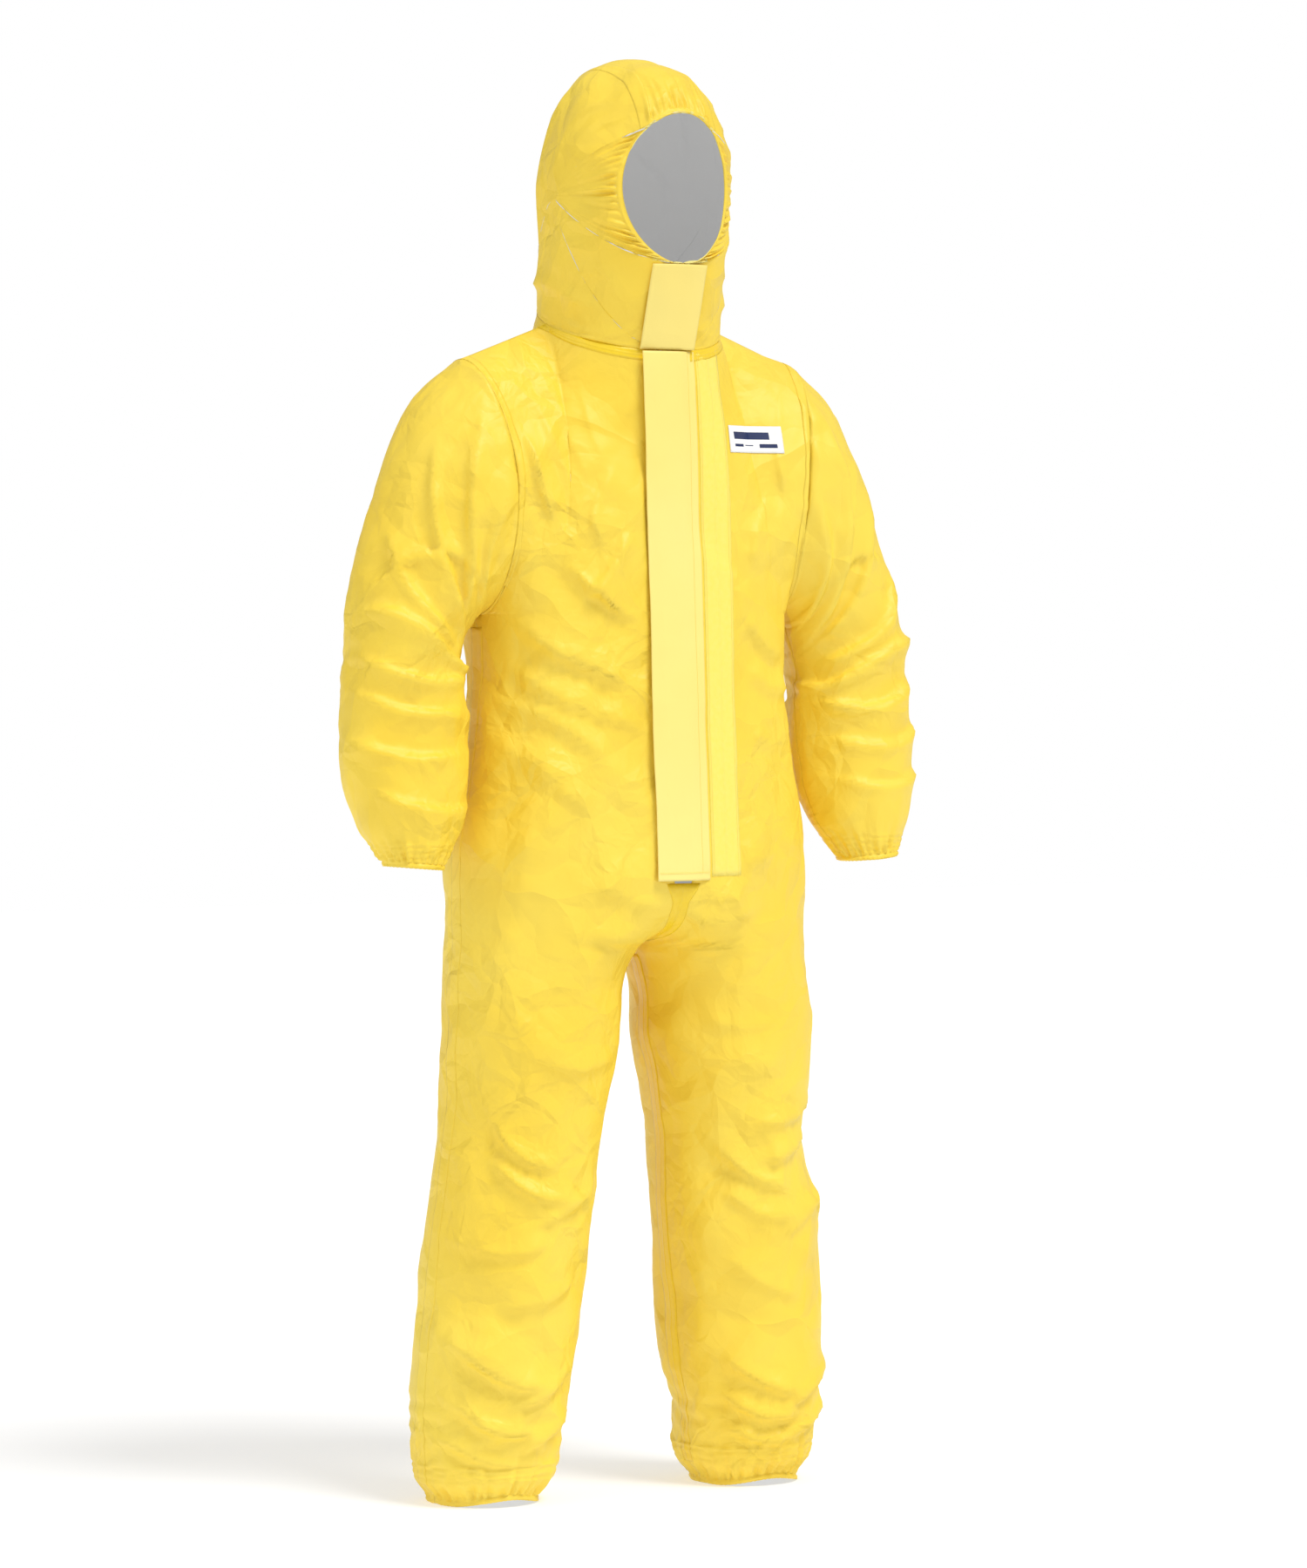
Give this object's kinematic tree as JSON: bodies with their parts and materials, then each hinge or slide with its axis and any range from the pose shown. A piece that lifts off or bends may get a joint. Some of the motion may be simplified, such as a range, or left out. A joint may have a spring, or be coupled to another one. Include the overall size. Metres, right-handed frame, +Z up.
{
  "type": "chemical protective suit",
  "caption": "Hooded one-piece protective coverall with storm flap over a front zip, taped seams and elasticated face opening, wrists and ankles.",
  "frame": {"origin": "on the floor under the middle of the suit's box", "axes": "+Z up the suit, -Y out of the front, +X towards the wearer's left"},
  "size_m": [0.8, 0.3086, 1.8],
  "materials": {
    "laminate_fabric": "film-laminated nonwoven, crisp, soft sheen, yellow",
    "seam_tape": "heat-sealed film tape, smooth, saturated yellow",
    "elastic": "narrow knitted elastic, pale yellow",
    "zip_plastic": "moulded acetal, satin yellow",
    "zip_tape": "woven polyester tape, yellow",
    "adhesive": "double-sided adhesive tape, milky",
    "liner_paper": "siliconised release paper, white",
    "label": "printed white label, satin"
  },
  "bodies": {
    "suit": {"front_panel_left": "laminate_fabric", "front_panel_right": "laminate_fabric", "back_panel_left": "laminate_fabric", "back_panel_right": "laminate_fabric", "side_seam_tape_left": "seam_tape", "side_seam_tape_right": "seam_tape", "inseam_tape_left": "seam_tape", "inseam_tape_right": "seam_tape", "armhole_tape_left": "seam_tape", "armhole_tape_right": "seam_tape", "neck_seam_tape": "seam_tape", "crotch_seam_tape": "seam_tape", "back_seam_tape": "seam_tape", "flap_seam_tape": "seam_tape", "ankle_elastic_left": "elastic", "ankle_elastic_right": "elastic", "waist_elastic": "elastic", "zip_teeth_left": "zip_plastic", "zip_teeth_right": "zip_plastic", "zip_tape_left": "zip_tape", "zip_tape_right": "zip_tape", "zip_top_stop_left": "zip_plastic", "zip_top_stop_right": "zip_plastic", "zip_bottom_stop": "zip_plastic", "chest_label": "label"},
    "sleeve_left": {"sleeve_left": "laminate_fabric", "sleeve_seam_tape_left": "seam_tape", "wrist_elastic_left": "elastic"},
    "sleeve_right": {"sleeve_right": "laminate_fabric", "sleeve_seam_tape_right": "seam_tape", "wrist_elastic_right": "elastic"},
    "hood": {"hood_side_left": "laminate_fabric", "hood_side_right": "laminate_fabric", "hood_center_panel": "laminate_fabric", "hood_seam_tape_left": "seam_tape", "hood_seam_tape_right": "seam_tape", "face_elastic": "elastic"},
    "chin_flap": {"chin_flap": "laminate_fabric"},
    "storm_flap": {"storm_flap": "laminate_fabric", "adhesive_strip": "adhesive", "release_liner": "liner_paper"},
    "zip_slider": {"zip_slider": "zip_plastic"},
    "zip_pull": {"zip_pull": "zip_plastic"}
  },
  "joints": [
    {"name": "hood_tilt", "type": "hinge", "parent": "suit", "child": "hood", "pos_m": [0, 0.088, 1.497], "axis": [1, 0, 0], "range_deg": [-15, 0]},
    {"name": "sleeve_left_swing", "type": "hinge", "parent": "suit", "child": "sleeve_left", "pos_m": [0.205, 0, 1.262], "axis": [0, -1, 0], "range_deg": [0, 58]},
    {"name": "sleeve_right_swing", "type": "hinge", "parent": "suit", "child": "sleeve_right", "pos_m": [-0.205, 0, 1.262], "axis": [0, 1, 0], "range_deg": [0, 58]},
    {"name": "storm_flap_hinge", "type": "hinge", "parent": "suit", "child": "storm_flap", "pos_m": [0.0365, -0.1298, 1.1], "axis": [0, 0.0561, 0.9984], "range_deg": [0, 150]},
    {"name": "chin_flap_hinge", "type": "hinge", "parent": "hood", "child": "chin_flap", "pos_m": [0.0365, -0.1226, 1.484], "axis": [0, -0.3337, 0.9427], "range_deg": [0, 120]},
    {"name": "zip_slide", "type": "slide", "parent": "suit", "child": "zip_slider", "axis": [0, -0.0561, -0.9984], "range_m": [0, 0.58]},
    {"name": "pull_swing", "type": "hinge", "parent": "zip_slider", "child": "zip_pull", "pos_m": [0, -0.1122, 1.3937], "axis": [0, 0.9984, -0.0561], "range_deg": [-35, 35]}
  ]
}
